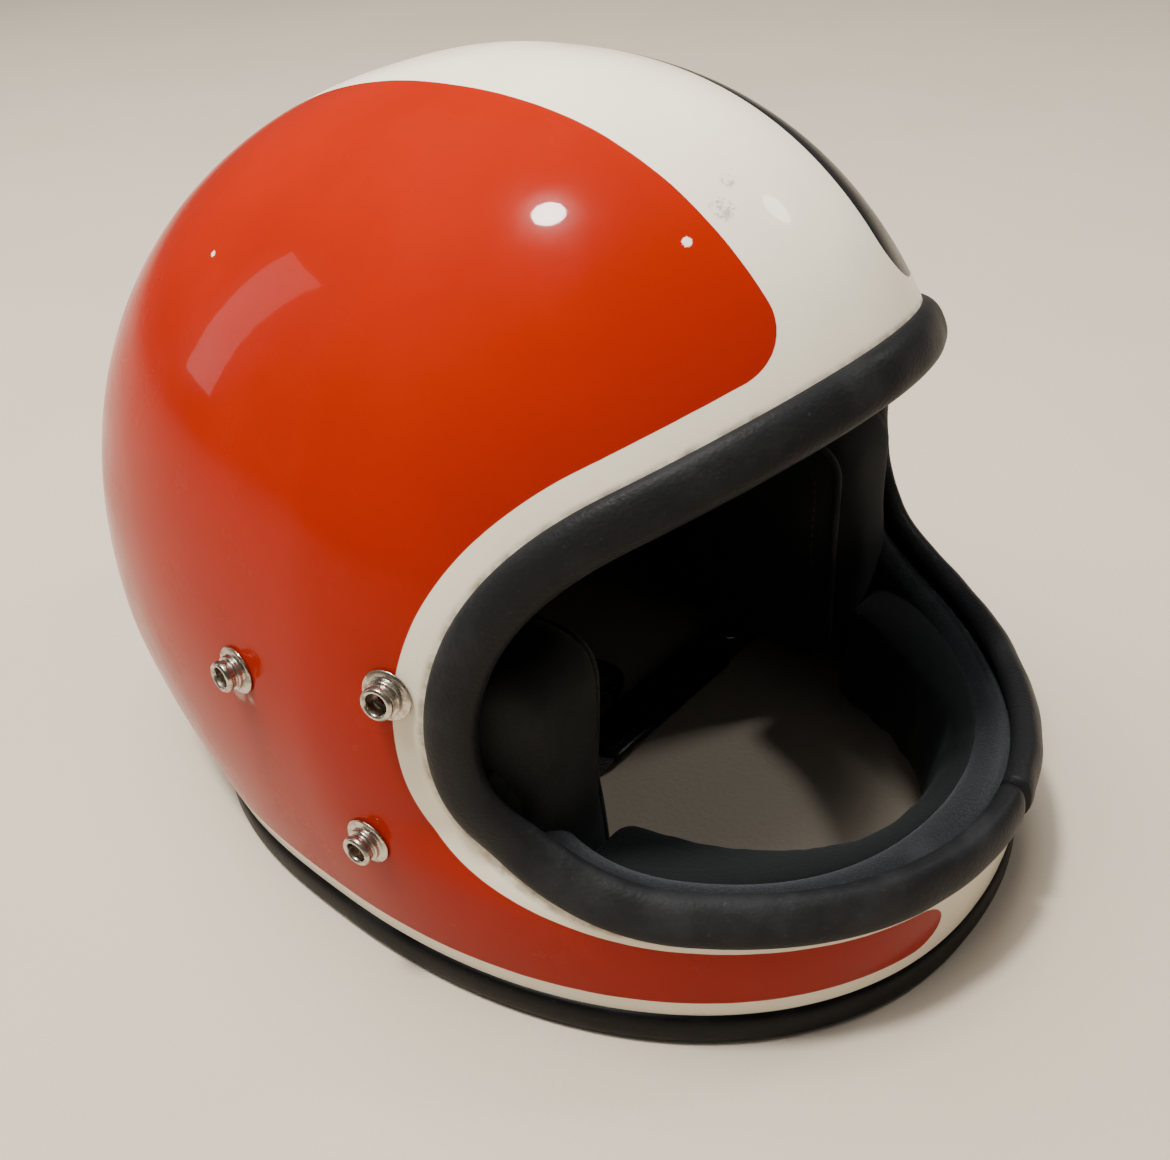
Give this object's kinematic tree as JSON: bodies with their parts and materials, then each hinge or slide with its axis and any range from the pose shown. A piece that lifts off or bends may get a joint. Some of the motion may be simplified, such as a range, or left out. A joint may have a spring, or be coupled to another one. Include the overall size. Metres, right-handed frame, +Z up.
{
  "type": "motorcycle helmet",
  "caption": "Full-face motorcycle helmet with a fixed chin bar, a large trimmed eyeport, snap studs for a shield, a padded lining and a chin strap with double rings.",
  "frame": {"origin": "centre of the helmet's outline, at the underside of its bottom beading", "axes": "+Z up, the face looks along -Y, the wearer's right side is at -X"},
  "size_m": [0.2606, 0.3569, 0.2478],
  "materials": {
    "shell_paint": "glossy painted glass fibre, panels in orange, cream and black",
    "trim_vinyl": "soft grained vinyl over foam",
    "bead_rubber": "satin rubber",
    "polystyrene": "expanded bead foam",
    "lining_cloth": "brushed nylon",
    "webbing": "woven nylon",
    "nickel": "worn nickel plate",
    "zinc_steel": "plated steel"
  },
  "bodies": {
    "helmet": {"outer_shell": "shell_paint", "eyeport_trim": "trim_vinyl", "bottom_beading": "bead_rubber", "shock_liner": "polystyrene", "chin_bar_foam": "polystyrene", "comfort_liner": "lining_cloth", "brow_pad": "lining_cloth", "nape_pad": "lining_cloth", "cheek_pad_right": "lining_cloth", "cheek_pad_left": "lining_cloth", "chin_bar_pad": "lining_cloth", "snap_studs_right": "nickel", "snap_studs_left": "nickel", "snap_posts_right": "nickel", "snap_posts_left": "nickel", "snap_washers_right": "zinc_steel", "snap_washers_left": "zinc_steel", "strap_hanger_right": "zinc_steel", "strap_hanger_left": "zinc_steel", "strap_rivet_right": "zinc_steel", "strap_rivet_left": "zinc_steel"},
    "strap_right_half": {"strap_right": "webbing", "strap_eyelet_right": "zinc_steel"},
    "strap_left_half": {"strap_left": "webbing", "strap_eyelet_left": "zinc_steel", "strap_sleeve": "trim_vinyl", "strap_snap_cap": "nickel", "strap_snap_stud": "nickel"},
    "ring_pair": {"d_ring_upper": "nickel", "d_ring_lower": "nickel"}
  },
  "joints": [
    {"name": "strap_right_swing", "type": "hinge", "parent": "helmet", "child": "strap_right_half", "pos_m": [-0.106, -0.001, 0.088], "axis": [1, 0, 0], "range_deg": [0, 15]},
    {"name": "strap_left_swing", "type": "hinge", "parent": "helmet", "child": "strap_left_half", "pos_m": [0.106, -0.027, 0.088], "axis": [1, 0, 0], "range_deg": [-15, 0]},
    {"name": "ring_pair_turn", "type": "hinge", "parent": "strap_right_half", "child": "ring_pair", "pos_m": [0.005, -0.001, 0.00995], "axis": [0, 1, 0], "range_deg": [-125, 8]}
  ]
}
